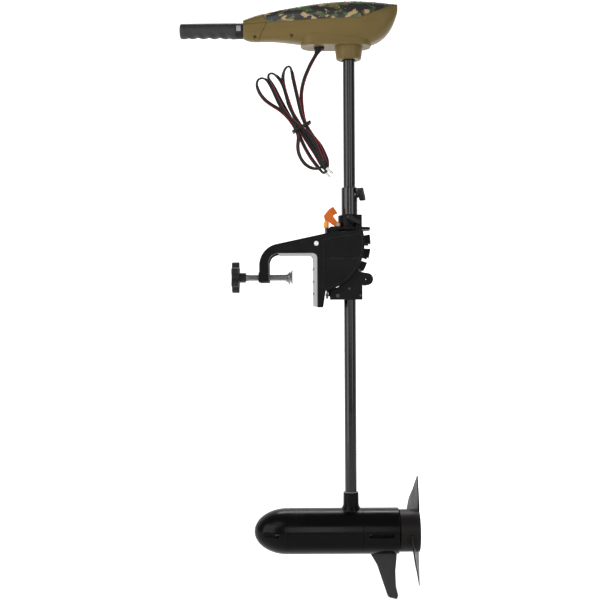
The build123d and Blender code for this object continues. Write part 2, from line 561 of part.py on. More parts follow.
with BuildPart() as armature_bearings:
    for x in (FRONT_BEARING_X - 2, REAR_BEARING_X):
        rod_x(x, x + BEARING_WIDTH, BEARING_RADIUS, 0, MOTOR_Z)
        rod_x(x, x + BEARING_WIDTH, ROTOR_SHAFT_RADIUS + FIT, 0, MOTOR_Z, mode=Mode.SUBTRACT)
save(armature_bearings, "armature_bearings")

with BuildPart() as shaft_seal:
    rod_x(REAR_END - 12, REAR_END - 5, 10.0, 0, MOTOR_Z)
    rod_x(REAR_END - 12, REAR_END - 5, ROTOR_SHAFT_RADIUS + FIT, 0, MOTOR_Z, mode=Mode.SUBTRACT)
save(shaft_seal, "shaft_seal")

CORE_RADIUS, CORE_FRONT, CORE_BACK = 33.5, -5.0, 60.0
with BuildPart() as field_magnets:
    rod_x(CORE_FRONT - 4, CORE_BACK + 4, HOUSING_BORE, 0, MOTOR_Z)
    rod_x(CORE_FRONT - 4, CORE_BACK + 4, CORE_RADIUS + 1.2, 0, MOTOR_Z, mode=Mode.SUBTRACT)
    block((CORE_FRONT - 5, CORE_BACK + 5), (-50, 50), (MOTOR_Z - 9, MOTOR_Z + 9),
          mode=Mode.SUBTRACT)
save(field_magnets, "field_magnets")

BRUSH_X, COMMUTATOR_RADIUS = 84.0, 12.0
with BuildPart() as brush_plate:
    rod_x(BRUSH_X - 8, BRUSH_X - 5, 33.0, 0, MOTOR_Z)
    rod_x(BRUSH_X - 8, BRUSH_X - 5, COMMUTATOR_RADIUS + 3, 0, MOTOR_Z, mode=Mode.SUBTRACT)
    for z_low in (MOTOR_Z + 14, MOTOR_Z - 30):
        block((BRUSH_X - 5, BRUSH_X + 6), (-5.5, 5.5), (z_low, z_low + 16))
        block((BRUSH_X - 4, BRUSH_X + 4), (-3.5, 3.5), (z_low - 1, z_low + 17),
              mode=Mode.SUBTRACT)
save(brush_plate, "brush_plate")

with BuildPart() as carbon_brushes:
    for z_low in (MOTOR_Z + COMMUTATOR_RADIUS + 0.3, MOTOR_Z - COMMUTATOR_RADIUS - 16.3):
        block((BRUSH_X - 4, BRUSH_X + 4), (-3.5, 3.5), (z_low, z_low + 16))
save(carbon_brushes, "carbon_brushes")

with BuildPart() as skeg:
    side_plate([(115, -577), (173, -577), (172, -592), (169.5, -616), (170.5, -650),
                (175, -668), (173, -676.8), (154, -672), (143, -640), (131, -604)],
               [0, 0, 0, 40, 40, 3, 3, 8, 60, 30], 2.6, -2.6)
    rod_x(110, 176, MOTOR_RADIUS, 0, MOTOR_Z, mode=Mode.SUBTRACT)
save(skeg, "skeg")

# ---------------------------------------------------------------- rotor and propeller
with BuildPart() as armature:
    rod_x(CORE_FRONT, CORE_BACK, CORE_RADIUS, 0, MOTOR_Z)
    with BuildSketch(Plane.YZ.offset(CORE_FRONT)):
        with Locations((0, MOTOR_Z)):
            with PolarLocations(CORE_RADIUS, 12):
                Rectangle(5, 3, mode=Mode.ADD)
    extrude(amount=CORE_BACK - CORE_FRONT, mode=Mode.SUBTRACT)
    rod_x(CORE_FRONT - 10, CORE_FRONT, 22, 0, MOTOR_Z)
    rod_x(CORE_BACK, CORE_BACK + 9, 22, 0, MOTOR_Z)
    rod_x(CORE_BACK + 9, BRUSH_X + 10, COMMUTATOR_RADIUS, 0, MOTOR_Z)
    rod_x(CORE_FRONT - 10, BRUSH_X + 10, ROTOR_SHAFT_RADIUS, 0, MOTOR_Z, mode=Mode.SUBTRACT)
save(armature, "armature")

with BuildPart() as rotor_shaft:
    rod_x(FRONT_BEARING_X - 1, HUB_END + 3, ROTOR_SHAFT_RADIUS, 0, MOTOR_Z)
    rod_y(20, -20, 2.0, HUB_FRONT + 5, MOTOR_Z, mode=Mode.SUBTRACT)
save(rotor_shaft, "rotor_shaft")

BLADE_PITCH, BLADE_RAKE, BLADE_THICKNESS = 15.0, 4.0, 3.6
BLADE_ROOT_X = 213.0
pitch_cos, pitch_sin = cos(radians(BLADE_PITCH)), sin(radians(BLADE_PITCH))
rake_cos, rake_sin = cos(radians(BLADE_RAKE)), sin(radians(BLADE_RAKE))
blade_outline = [(-10, 8), (-9, 52), (2, 88), (11, PROP_RADIUS), (20, 107), (42, 78),
                 (66, 54), (68, 24), (56, 2), (30, -4)]
blade_radii = [0, 60, 60, 3, 6, 60, 26, 26, 6, 0]
with BuildPart() as propeller:
    for side in (1, -1):
        blade_plane = Plane(origin=(BLADE_ROOT_X, 0, MOTOR_Z),
                            x_dir=(-pitch_sin, side * pitch_cos, 0),
                            z_dir=(pitch_cos * rake_cos, side * pitch_sin * rake_cos,
                                   -side * pitch_cos * rake_sin))
        with BuildSketch(blade_plane.offset(-BLADE_THICKNESS / 2)):
            closed_outline(blade_outline, blade_radii)
        extrude(amount=BLADE_THICKNESS)
    rod_x(HUB_FRONT - 20, HUB_END + 20, HUB_RADIUS - 3, 0, MOTOR_Z, mode=Mode.SUBTRACT)
    rod_x(HUB_FRONT, HUB_END, HUB_RADIUS, 0, MOTOR_Z)
    rod_x(HUB_FRONT + 9, HUB_END, 38, 0, MOTOR_Z, mode=Mode.SUBTRACT)
    rod_x(HUB_FRONT + 9, HUB_END - 4, 13, 0, MOTOR_Z)
    for turn in range(4):
        with Locations(Location((0, 0, MOTOR_Z), (45 + 90 * turn, 0, 0))):
            with Locations((HUB_FRONT + 20, 25.5, 0)):
                Box(24, 27, 3)
    rod_x(HUB_FRONT, HUB_END, ROTOR_SHAFT_RADIUS, 0, MOTOR_Z, mode=Mode.SUBTRACT)
    rod_y(11, -11, 2.0, HUB_FRONT + 5, MOTOR_Z, mode=Mode.SUBTRACT)
save(propeller, "propeller")

with BuildPart() as drive_pin:
    rod_y(10.5, -10.5, 2.0, HUB_FRONT + 5, MOTOR_Z)
save(drive_pin, "drive_pin")

with BuildPart() as prop_nut:
    with BuildSketch(Plane.YZ.offset(HUB_END - 4)):
        with Locations((0, MOTOR_Z)):
            RegularPolygon(9.0, 6)
    extrude(amount=6)
    rod_x(HUB_END - 4, HUB_END + 2, ROTOR_SHAFT_RADIUS, 0, MOTOR_Z, mode=Mode.SUBTRACT)
save(prop_nut, "prop_nut")

# ---------------------------------------------------------------- control head
# stations along X: half width, lowest and highest point of the section
HEAD_STATIONS = [(-144, 17.5, 503, 541), (-100, 24, 497, 555), (-40, 34, 493, 567.5),
                 (20, 43, 489, 576), (80, 48, 487, 579.5), (125, 46, 490, 578),
                 (155, 38, 508, 574.5), (178, 22, 551, 570)]


def head_solid(inset):
    """Body of the head, from nose to stern, drawn in by an inset on every side."""
    with BuildPart() as body:
        for index, (x, half_width, low, high) in enumerate(HEAD_STATIONS):
            end_shift = {0: inset, len(HEAD_STATIONS) - 1: -2 * inset}.get(index, 0)
            width, height = 2 * (half_width - inset), high - low - 2 * inset
            centre = (x + end_shift, 0, (low + high) / 2)
            with BuildSketch(Plane(origin=centre, x_dir=(0, 1, 0), z_dir=(1, 0, 0))):
                RectangleRounded(width, height, 0.42 * min(width, height))
        loft()
    return body.part


head_outer, head_inner = head_solid(0.0), head_solid(HEAD_WALL)
NOSE_CORNER = (-94, 531)
cover_region = [NOSE_CORNER, (101, 535), (169, 564), (200, 577), (200, 640), (-107, 640),
                (-107, 572)]
nose_upper_region = [(-160, 528), NOSE_CORNER, (-107, 572), (-107, 640), (-160, 640)]
nose_lower_region = [(-160, 528), NOSE_CORNER, (-118, 484), (-160, 484)]
SCREW_POSTS = [(-119, 15), (-119, -15), (-42, 25), (-42, -25)]
SEAM_LINES = [((-160, 528), NOSE_CORNER), (NOSE_CORNER, (-107, 572)), (NOSE_CORNER, (-118, 484)),
              (NOSE_CORNER, (101, 535)), ((101, 535), (169, 564)), ((169, 564), (200, 577))]
head_core = head_solid(1.1)


def cut_seams():
    """Cut a shallow groove along each joint line between the head's mouldings."""
    with BuildPart() as grooves:
        for (x0, z0), (x1, z1) in SEAM_LINES:
            run = Vector(x1 - x0, 0, z1 - z0).normalized() * 0.55
            side_plate([(x0 - run.Z - run.X, z0 + run.X - run.Z),
                        (x1 - run.Z + run.X, z1 + run.X + run.Z),
                        (x1 + run.Z + run.X, z1 - run.X + run.Z),
                        (x0 + run.Z - run.X, z0 - run.X - run.Z)], 0, 70, -70)
        add(head_core, mode=Mode.SUBTRACT)
    add(grooves.part, mode=Mode.SUBTRACT)


def head_shell(region):
    """Wall of the head inside one region of the side view."""
    add(head_outer)
    side_plate(region, 0, 70, -70, mode=Mode.INTERSECT)
    add(head_inner, mode=Mode.SUBTRACT)


with BuildPart() as head_cover:
    head_shell(cover_region)
    cut_seams()
save(head_cover, "head_cover")

with BuildPart() as nose_upper:
    head_shell(nose_upper_region)
    cut_seams()
    rod_x(-150, -130, 14.2, 0, TILLER_Z, mode=Mode.SUBTRACT)
save(nose_upper, "nose_upper")

with BuildPart() as nose_lower:
    head_shell(nose_lower_region)
    for x, y in SCREW_POSTS[:2]:
        rod_z(497, 514, 5.2, x, y)
    rod_x(-150, -90, 12.6, 0, TILLER_Z, mode=Mode.SUBTRACT)
    side_plate(nose_lower_region, 0, 70, -70, mode=Mode.INTERSECT)
    add(head_outer, mode=Mode.INTERSECT)
    rod_x(-150, -130, 14.2, 0, TILLER_Z, mode=Mode.SUBTRACT)
    for x, y in SCREW_POSTS[:2]:
        rod_z(485, 507, 3.6, x, y, mode=Mode.SUBTRACT)
        rod_z(507, 516, 1.6, x, y, mode=Mode.SUBTRACT)
    cut_seams()
save(nose_lower, "nose_lower")

GROMMET_X, PLINTH_BOTTOM = 15.0, 483.5
SWITCH_FRONT, SWITCH_BACK, SWITCH_RADIUS = -10.0, 26.0, 17.5
base_frame = [(-118, 484), NOSE_CORNER, (101, 535), (169, 564), (200, 577), (200, 440),
              (-118, 440)]
with BuildPart() as head_base:
    head_shell(base_frame)
    # inside the shell: screw posts, a saddle that guides the tiller's tube and a switch cradle
    with BuildPart() as inner_ribs:
        for x, y in SCREW_POSTS[2:]:
            rod_z(490, 520, 6.0, x, y)
        block((-72, -54), (-16, 16), (490, 530))
        add(head_core, mode=Mode.INTERSECT)
        block((-6, 22), (-14, 14), (PLINTH_BOTTOM + 3, TILLER_Z - 8))
        rod_x(-73, SWITCH_FRONT, 12 + FIT, 0, TILLER_Z, mode=Mode.SUBTRACT)
        rod_x(SWITCH_FRONT, SWITCH_BACK, SWITCH_RADIUS, 0, TILLER_Z, mode=Mode.SUBTRACT)
    # hollow plinth, and the socket under it that holds the shaft
    with BuildSketch(Plane.XY.offset(PLINTH_BOTTOM)):
        closed_outline([(-24, -35), (124, -35), (124, 35), (-24, 35)], [30, 30, 30, 30])
    extrude(amount=20)
    fillet(head_base.faces().sort_by(Axis.Z)[0].edges(), 3)
    with BuildSketch(Plane.XY.offset(PLINTH_BOTTOM + 4)):
        closed_outline([(-20, -31), (120, -31), (120, 31), (-20, 31)], [26, 26, 26, 26])
    extrude(amount=20, mode=Mode.SUBTRACT)
    with Locations((SHAFT_X, 0, SOCKET_BOTTOM + 19)):
        Cone(bottom_radius=26.0, top_radius=30.4, height=38)
    fillet(head_base.faces().sort_by(Axis.Z)[0].edges(), 5)
    rod_z(PLINTH_BOTTOM, SHAFT_TOP, 19, SHAFT_X)
    add(inner_ribs.part)
    rod_z(SOCKET_BOTTOM - 1, SHAFT_TOP + 20, SHAFT_RADIUS, SHAFT_X, mode=Mode.SUBTRACT)
    rod_z(SOCKET_BOTTOM - 1, SOCKET_BOTTOM + 5, 14.6, SHAFT_X, mode=Mode.SUBTRACT)
    rod_z(480, 510, 9.0, GROMMET_X, mode=Mode.SUBTRACT)
    for x, y in SCREW_POSTS[2:]:
        rod_z(485, 507, 3.6, x, y, mode=Mode.SUBTRACT)
        rod_z(507, 521, 1.6, x, y, mode=Mode.SUBTRACT)
    cut_seams()
save(head_base, "head_base")

with BuildPart() as head_screws:
    for x, y in SCREW_POSTS:
        rod_z(507, 513, 1.6, x, y)
        rod_z(504.5, 507, 3.3, x, y)
save(head_screws, "head_screws")

with BuildPart() as shaft_retainer:
    rod_z(501.5, 509, 19, SHAFT_X)
    rod_z(501.5, 509, 6, SHAFT_X, mode=Mode.SUBTRACT)
save(shaft_retainer, "shaft_retainer")

with BuildPart() as speed_switch:
    rod_x(SWITCH_FRONT, SWITCH_BACK, SWITCH_RADIUS, 0, TILLER_Z)
    rod_x(SWITCH_FRONT - 1, SWITCH_BACK + 1, 4.4, 0, TILLER_Z, mode=Mode.SUBTRACT)
save(speed_switch, "speed_switch")

# ---------------------------------------------------------------- tiller
GRIP_END, GRIP_FRONT, NOSE_FACE = -277.5, -159.0, -144.0
with BuildPart() as tiller_tube:
    rod_x(GRIP_END + 14, SWITCH_FRONT - 2, 12.0, 0, TILLER_Z)
    rod_x(GRIP_END + 14, SWITCH_FRONT - 2, 10.0, 0, TILLER_Z, mode=Mode.SUBTRACT)
save(tiller_tube, "tiller_tube")

with BuildPart() as dial_collar:
    rod_x(GRIP_FRONT + 0.3, NOSE_FACE - 0.8, 16.4, 0, TILLER_Z)
    rod_x(GRIP_FRONT, NOSE_FACE, 12.0, 0, TILLER_Z, mode=Mode.SUBTRACT)
save(dial_collar, "dial_collar")

with BuildPart() as tiller_grip:
    rod_x(GRIP_END, GRIP_FRONT, 17.0, 0, TILLER_Z)
    fillet(tiller_grip.faces().sort_by(Axis.X)[0].edges(), 5)
    rod_x(GRIP_END + 13, GRIP_FRONT, 12.0 + 0.1, 0, TILLER_Z, mode=Mode.SUBTRACT)
    rod_x(GRIP_END + 4, GRIP_END + 13, 4.0, 0, TILLER_Z, mode=Mode.SUBTRACT)
save(tiller_grip, "tiller_grip")

with BuildPart() as twist_rod:
    rod_x(GRIP_END + 4, SWITCH_BACK + 94, 4.0, 0, TILLER_Z)
save(twist_rod, "twist_rod")

# ---------------------------------------------------------------- power cable
# flat twin lead: two conductors side by side
LEAD_WIDTH, LEAD_THICKNESS = 8.0, 4.0
GLAND_LEAN = 25.0                       # degrees that the gland's sleeve leans forward
gland_axis = Vector(-sin(radians(GLAND_LEAN)), 0, -cos(radians(GLAND_LEAN)))
gland_plane = Plane(origin=(GROMMET_X, 0, 483.5), x_dir=(0, 1, 0), z_dir=gland_axis)
with BuildPart() as cable_grommet:
    rod_z(479.5, 483.5, 11.0, GROMMET_X)
    rod_z(483.5, 492, 9.0, GROMMET_X)
    with BuildSketch(gland_plane.offset(2)):
        Ellipse(9.0, 8.0)
    with BuildSketch(gland_plane.offset(17)):
        Ellipse(5.6, 3.6)
    loft()
    chamfer(cable_grommet.faces().sort_by(Axis.Z)[-1].edges(), 1)
save(cable_grommet, "cable_grommet")

# route of the lead from the gland to the hank: straight runs with tangent arcs between them
gland_end = Vector(GROMMET_X, 0, 483.5) + gland_axis * 17
lead_route = [gland_end, Vector(-2, 0, 447), Vector(-13, -1, 424.5), Vector(-22, -2, 401),
              Vector(-24.5, -3, 375), Vector(-21, -4, 351), Vector(-21, -4, 337.1)]


def corner_radii(route):
    """Largest tidy arc at each corner: 0.45 of the shorter run over the tangent of half the turn."""
    radii = []
    for before, corner, after in zip(route, route[1:], route[2:]):
        arriving, leaving = corner - before, after - corner
        half_turn = radians(arriving.get_angle(leaving)) / 2
        radii.append(0.45 * min(arriving.length, leaving.length) / tan(half_turn))
    return radii


lead_radii = corner_radii(lead_route)
print("lead radii", [round(radius) for radius in lead_radii])
with BuildPart() as power_lead:
    with BuildLine() as lead_path:
        FilletPolyline(*lead_route, radius=lead_radii)
    with BuildSketch(gland_plane.offset(17)):
        SlotOverall(LEAD_WIDTH, LEAD_THICKNESS)
    sweep(path=lead_path.wire())
lead_section = (LEAD_WIDTH - LEAD_THICKNESS) * LEAD_THICKNESS + pi * LEAD_THICKNESS ** 2 / 4
print("lead volume", round(power_lead.part.volume), "of",
      round(lead_section * lead_path.wire().length), "length", round(lead_path.wire().length))
save(power_lead, "power_lead")

# outer shape of the tied hank: a fan of loops above the tie, one bundle below it
HANK_FRONT, HANK_BACK = -15.0, 7.0
hank_outline = [(-13, 337), (4, 302), (24, 273), (29, 250), (35.3, 230), (23.7, 217.4),
                (-2, 224), (-24, 244), (-35, 268), (-34, 297), (-56, 344), (-78, 365),
                (-121, 400), (-104, 424), (-86, 434), (-64, 446), (-42, 444), (-38, 400),
                (-31, 366), (-29, 337)]
hank_radii = [0, 20, 20, 20, 0, 0, 20, 20, 20, 20, 20, 20, 12, 16, 20, 14, 12, 30, 8, 0]
with BuildPart() as lead_hank:
    side_plate(hank_outline, hank_radii, HANK_BACK, HANK_FRONT)
save(lead_hank, "lead_hank")

TIE_X, TIE_Z, BUNDLE_LEAN = -24.0, 318.0, -60.0
tie_plane = Plane(origin=(TIE_X, (HANK_FRONT + HANK_BACK) / 2, TIE_Z),
                  x_dir=(sin(radians(-BUNDLE_LEAN)), 0, cos(radians(-BUNDLE_LEAN))),
                  z_dir=(cos(radians(BUNDLE_LEAN)), 0, sin(radians(BUNDLE_LEAN))))
with BuildPart() as hank_tie:
    with BuildSketch(tie_plane):
        RectangleRounded(44, HANK_BACK - HANK_FRONT + 4, 3)
    extrude(amount=5)
    add(lead_hank.part, mode=Mode.SUBTRACT)
save(hank_tie, "hank_tie")

# ring terminals for the battery studs
STUD_RADIUS = 4.2
BARREL_LENGTH, TONGUE_LENGTH = 13.0, 12.0
with BuildPart() as battery_terminals:
    for share, y in ((0.28, -8.0), (0.72, 2.0)):
        base = (35.3 - 11.6 * share, y, 230 - 12.6 * share)
        barrel_plane = Plane(origin=base, x_dir=(0, 1, 0), z_dir=(0.7357, 0, -0.6773))
        with BuildSketch(barrel_plane):
            Circle(2.6)
        extrude(amount=BARREL_LENGTH)
        tongue_plane = Plane(origin=barrel_plane.offset(BARREL_LENGTH).origin,
                             x_dir=barrel_plane.z_dir, z_dir=(0, -1, 0))
        with BuildSketch(tongue_plane.offset(-0.5)):
            with Locations((0, 0)):
                Rectangle(TONGUE_LENGTH, 5, align=(Align.MIN, Align.CENTER))
            with Locations((TONGUE_LENGTH, 0)):
                Circle(7.0)
                Circle(STUD_RADIUS, mode=Mode.SUBTRACT)
        extrude(amount=1.0)
save(battery_terminals, "battery_terminals")
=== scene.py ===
# Looks of an electric trolling motor on a transom clamp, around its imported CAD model.
# Metres; +X aft, +Z up, the camera looks along +Y.
import math

import bmesh
import bpy
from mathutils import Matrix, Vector


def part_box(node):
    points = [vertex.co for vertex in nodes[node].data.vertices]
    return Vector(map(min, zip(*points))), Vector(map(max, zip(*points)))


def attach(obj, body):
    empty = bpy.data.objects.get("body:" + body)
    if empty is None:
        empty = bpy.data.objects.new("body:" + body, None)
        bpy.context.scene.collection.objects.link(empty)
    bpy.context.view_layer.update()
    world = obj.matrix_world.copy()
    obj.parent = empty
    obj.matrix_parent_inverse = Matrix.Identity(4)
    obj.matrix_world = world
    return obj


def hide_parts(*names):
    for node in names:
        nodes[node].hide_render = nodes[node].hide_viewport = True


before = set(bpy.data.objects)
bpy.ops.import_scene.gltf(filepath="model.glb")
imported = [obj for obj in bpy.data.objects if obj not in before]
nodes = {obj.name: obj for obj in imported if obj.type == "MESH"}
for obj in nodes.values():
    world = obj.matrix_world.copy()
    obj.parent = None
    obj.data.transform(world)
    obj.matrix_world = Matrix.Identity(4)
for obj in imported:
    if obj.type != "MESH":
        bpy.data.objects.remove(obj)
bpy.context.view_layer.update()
scene = bpy.context.scene
MM = 0.001

MOTOR_Z = -0.5326           # height of the motor's and the propeller's axis
TILLER_Z = 0.519            # height of the tiller's axis
SHAFT_X = 0.077             # the shaft's axis, behind the seat face


# ---------------------------------------------------------------- camera, floor and light
def add_camera():
    data = bpy.data.cameras.new("camera")
    data.sensor_width = 36.0
    data.lens = 62.9
    data.clip_end = 50
    camera = bpy.data.objects.new("camera", data)
    camera.location = (-0.028, -2.205, -0.047)
    camera.rotation_euler = (math.radians(90), math.radians(0.3), 0)
    scene.collection.objects.link(camera)
    scene.camera = camera


def add_area(name, location, target, size, power):
    data = bpy.data.lights.new(name, "AREA")
    data.shape = "RECTANGLE"
    data.size, data.size_y = size
    data.energy = power
    lamp = bpy.data.objects.new(name, data)
    lamp.location = location
    lamp.rotation_euler = (Vector(target) - Vector(location)).to_track_quat("-Z", "Y").to_euler()
    scene.collection.objects.link(lamp)


FLOOR_Z, FLOOR_FRONT, FLOOR_HALF_WIDTH = -0.71, -6.0, 9.0
SWEEP_START, SWEEP_RADIUS, BACKDROP_TOP = 1.6, 1.4, 5.0


def add_sweep():
    """A floor that sweeps up into a backdrop."""
    profile = [(FLOOR_FRONT, FLOOR_Z), (SWEEP_START, FLOOR_Z)]
    for step in range(1, 13):
        angle = math.radians(90 * step / 12)
        profile.append((SWEEP_START + SWEEP_RADIUS * math.sin(angle),
                        FLOOR_Z + SWEEP_RADIUS * (1 - math.cos(angle))))
    profile.append((SWEEP_START + SWEEP_RADIUS, BACKDROP_TOP))
    mesh = bpy.data.meshes.new("floor")
    verts = [(x, y, z) for y, z in profile for x in (-FLOOR_HALF_WIDTH, FLOOR_HALF_WIDTH)]
    faces = [(2 * i, 2 * i + 1, 2 * i + 3, 2 * i + 2) for i in range(len(profile) - 1)]
    mesh.from_pydata(verts, [], faces)
    for polygon in mesh.polygons:
        polygon.use_smooth = True
    floor = bpy.data.objects.new("floor", mesh)
    scene.collection.objects.link(floor)
    material = bpy.data.materials.new("floor_paper")
    material.use_nodes = True
    shader = material.node_tree.nodes["Principled BSDF"]
    shader.inputs["Base Color"].default_value = (0.9, 0.9, 0.9, 1)
    shader.inputs["Roughness"].default_value = 0.9
    shader.inputs["Emission Color"].default_value = (1, 1, 1, 1)
    # the paper glows a little towards the back, so that it stays pale away from the lamps
    tree = material.node_tree
    place = tree.nodes.new("ShaderNodeSeparateXYZ")
    tree.links.new(tree.nodes.new("ShaderNodeTexCoord").outputs["Object"], place.inputs[0])
    glow = tree.nodes.new("ShaderNodeMapRange")
    tree.links.new(place.outputs["Y"], glow.inputs["Value"])
    for key, number in (("From Min", -0.3), ("From Max", 0.9), ("To Min", 0.0), ("To Max", 0.58)):
        glow.inputs[key].default_value = number
    tree.links.new(glow.outputs["Result"], shader.inputs["Emission Strength"])
    mesh.materials.append(material)


add_camera()
add_sweep()
world = bpy.data.worlds.new("studio")
world.use_nodes = True
world.node_tree.nodes["Background"].inputs["Color"].default_value = (1.0, 1.0, 1.0, 1)
world.node_tree.nodes["Background"].inputs["Strength"].default_value = 0.24
scene.world = world
scene.view_settings.view_transform = "Standard"
add_area("key", (-1.6, -2.2, 2.0), (0, 0, 0.1), (1.6, 1.6), 14)
add_area("fill", (2.0, -2.4, 0.6), (0, 0, 0), (1.2, 2.4), 22)
add_area("top", (0.1, 1.6, 2.3), (0, 0, 0), (2.0, 0.7), 48)
add_area("front", (0.0, -3.4, 0.55), (0, 0, -0.4), (0.8, 1.6), 14)
add_area("left", (-2.05, -1.45, 0.0), (0.07, 0, 0), (1.9, 2.6), 42)


# ---------------------------------------------------------------- materials
class Surface:
    """A node material under construction, in object coordinates (metres)."""

    def __init__(self, name):
        self.material = bpy.data.materials.new(name)
        self.material.use_nodes = True
        self.tree = self.material.node_tree
        self.shader = self.tree.nodes["Principled BSDF"]
        self.coords = self.tree.nodes.new("ShaderNodeTexCoord").outputs["Object"]

    def node(self, kind, **values):
        made = self.tree.nodes.new(kind)
        for key, value in values.items():
            setattr(made, key, value)
        return made

    def link(self, source, target):
        self.tree.links.new(source, target)

    def scaled(self, scale, offset=(0, 0, 0)):
        mapping = self.node("ShaderNodeMapping")
        mapping.inputs["Scale"].default_value = scale
        mapping.inputs["Location"].default_value = offset
        self.link(self.coords, mapping.inputs["Vector"])
        return mapping.outputs["Vector"]

    def noise(self, scale, detail=3.0, roughness=0.5, distortion=0.0, coords=None):
        made = self.node("ShaderNodeTexNoise")
        self.link(coords or self.coords, made.inputs["Vector"])
        made.inputs["Scale"].default_value = scale
        made.inputs["Detail"].default_value = detail
        made.inputs["Roughness"].default_value = roughness
        made.inputs["Distortion"].default_value = distortion
        return made.outputs["Fac"]

    def ramp(self, factor, stops):
        made = self.node("ShaderNodeValToRGB")
        elements = made.color_ramp.elements
        while len(elements) < len(stops):
            elements.new(0.5)
        for element, (position, colour) in zip(elements, stops):
            element.position = position
            element.color = (*colour, 1)
        self.link(factor, made.inputs["Fac"])
        return made.outputs["Color"]

    def value(self, factor, low, high, start=0.3, end=0.7):
        made = self.node("ShaderNodeMapRange")
        self.link(factor, made.inputs["Value"])
        for key, number in (("From Min", start), ("From Max", end), ("To Min", low),
                            ("To Max", high)):
            made.inputs[key].default_value = number
        return made.outputs["Result"]

    def mix(self, factor, first, second):
        made = self.node("ShaderNodeMix", data_type="RGBA")
        self.link(factor, made.inputs[0])
        # a mix node holds its colours in sockets 6 and 7, and gives the mixed one in socket 2
        for socket, colour in ((made.inputs[6], first), (made.inputs[7], second)):
            if isinstance(colour, tuple):
                socket.default_value = (*colour, 1)
            else:
                self.link(colour, socket)
        return made.outputs[2]

    def edges(self, radius):
        """0 on flat surface, up to 1 on outside edges, and the normal rounded over them."""
        rounded = self.node("ShaderNodeBevel", samples=6)
        rounded.inputs["Radius"].default_value = radius
        flat = self.node("ShaderNodeNewGeometry")
        dot = self.node("ShaderNodeVectorMath", operation="DOT_PRODUCT")
        self.link(rounded.outputs["Normal"], dot.inputs[0])
        self.link(flat.outputs["Normal"], dot.inputs[1])
        return self.value(dot.outputs["Value"], 1.0, 0.0, 0.75, 0.99), rounded.outputs["Normal"]

    def bump(self, height, strength, distance, normal):
        made = self.node("ShaderNodeBump")
        made.inputs["Strength"].default_value = strength
        made.inputs["Distance"].default_value = distance
        self.link(height, made.inputs["Height"])
        self.link(normal, made.inputs["Normal"])
        return made.outputs["Normal"]

    def set(self, **values):
        for key, value in values.items():
            socket = self.shader.inputs[key.replace("_", " ")]
            if isinstance(value, float):
                socket.default_value = value
            else:
                self.link(value, socket)
        return self.material


def tint(colour, factor):
    return tuple(min(1.0, channel * factor) for channel in colour)


def moulded(name, colour, rough=0.45, grain=900.0, depth=0.00008, spread=0.12, edge=1.5,
            edge_radius=0.0008, cloud=14.0, strength=0.35, shine=0.22):
    """Moulded or coated surface: fine grain, clouded colour and roughness, edges lightened as wear and
    as a painted highlight.
    """
    surface = Surface(name)
    wear_and_highlight_edges, rounded = surface.edges(edge_radius)
    cloud_fac = surface.noise(cloud, 4)
    body = surface.ramp(cloud_fac, [(0.3, tint(colour, 1 - spread)), (0.7, tint(colour, 1 + spread))])
    patchy = surface.noise(cloud * 9, 3)
    # the edges are lightened towards a paler tint: partly wear, partly a painted highlight along them
    wear_and_highlight = surface.node("ShaderNodeMath", operation="MULTIPLY")
    surface.link(wear_and_highlight_edges, wear_and_highlight.inputs[0])
    surface.link(surface.value(patchy, 0.25, 1.0), wear_and_highlight.inputs[1])
    final = surface.mix(wear_and_highlight.outputs[0], body, tint(colour, edge))
    fine = surface.noise(grain, 2, 0.6)
    return surface.set(
        Base_Color=final,
        Roughness=surface.value(surface.noise(cloud * 3, 5), rough - 0.07, rough + 0.07),
        Normal=surface.bump(fine, strength, depth, rounded), Specular_IOR_Level=shine)


def brushed(name, colour, rough=0.28, stretch=(30, 900, 900), edge=1.1):
    """Turned or brushed metal with fine lines across the stretched axis."""
    surface = Surface(name)
    lines = surface.noise(1.0, 3, 0.7, coords=surface.scaled(stretch))
    # edges lightened towards a paler tint: wear and a painted highlight
    wear_and_highlight_edges, rounded = surface.edges(0.0005)
    body = surface.ramp(lines, [(0.25, tint(colour, 0.72)), (0.75, tint(colour, 1.1))])
    return surface.set(
        Base_Color=surface.mix(wear_and_highlight_edges, body, tint(colour, edge)), Metallic=1.0,
        Roughness=surface.value(lines, rough - 0.06, rough + 0.1),
        Normal=surface.bump(lines, 0.25, 0.00006, rounded))


KHAKI = (0.148, 0.104, 0.034)
CAMO_BLACK, CAMO_GREEN, CAMO_TAN = (0.016, 0.014, 0.016), (0.045, 0.085, 0.026), (0.4, 0.275, 0.135)


def camouflage(name):
    """Printed four-colour woodland pattern under a satin lacquer."""
    surface = Surface(name)
    wide = (32, 36, 58)
    body = KHAKI
    for colour, offset, low, scale in (
            (CAMO_GREEN, (3, 1, 7), 0.45, 1.0), (CAMO_BLACK, (11, 5, 2), 0.505, 1.0),
            (CAMO_TAN, (23, 9, 31), 0.585, 1.2)):
        field = surface.noise(scale, 2.2, 0.55, 0.7, coords=surface.scaled(wide, offset))
        edge = surface.ramp(field, [(low, (0, 0, 0)), (low + 0.006, (1, 1, 1))])
        body = surface.mix(edge, body, colour)
    # edges lightened to a pale tan: wear and a painted highlight
    wear_and_highlight_edges, rounded = surface.edges(0.0006)
    fine = surface.noise(1100, 2, 0.6)
    return surface.set(
        Base_Color=surface.mix(wear_and_highlight_edges, body, (0.3, 0.24, 0.12)),
        Roughness=surface.value(surface.noise(40, 4), 0.3, 0.44),
        Normal=surface.bump(fine, 0.2, 0.00004, rounded), Coat_Weight=0.25, Coat_Roughness=0.15)
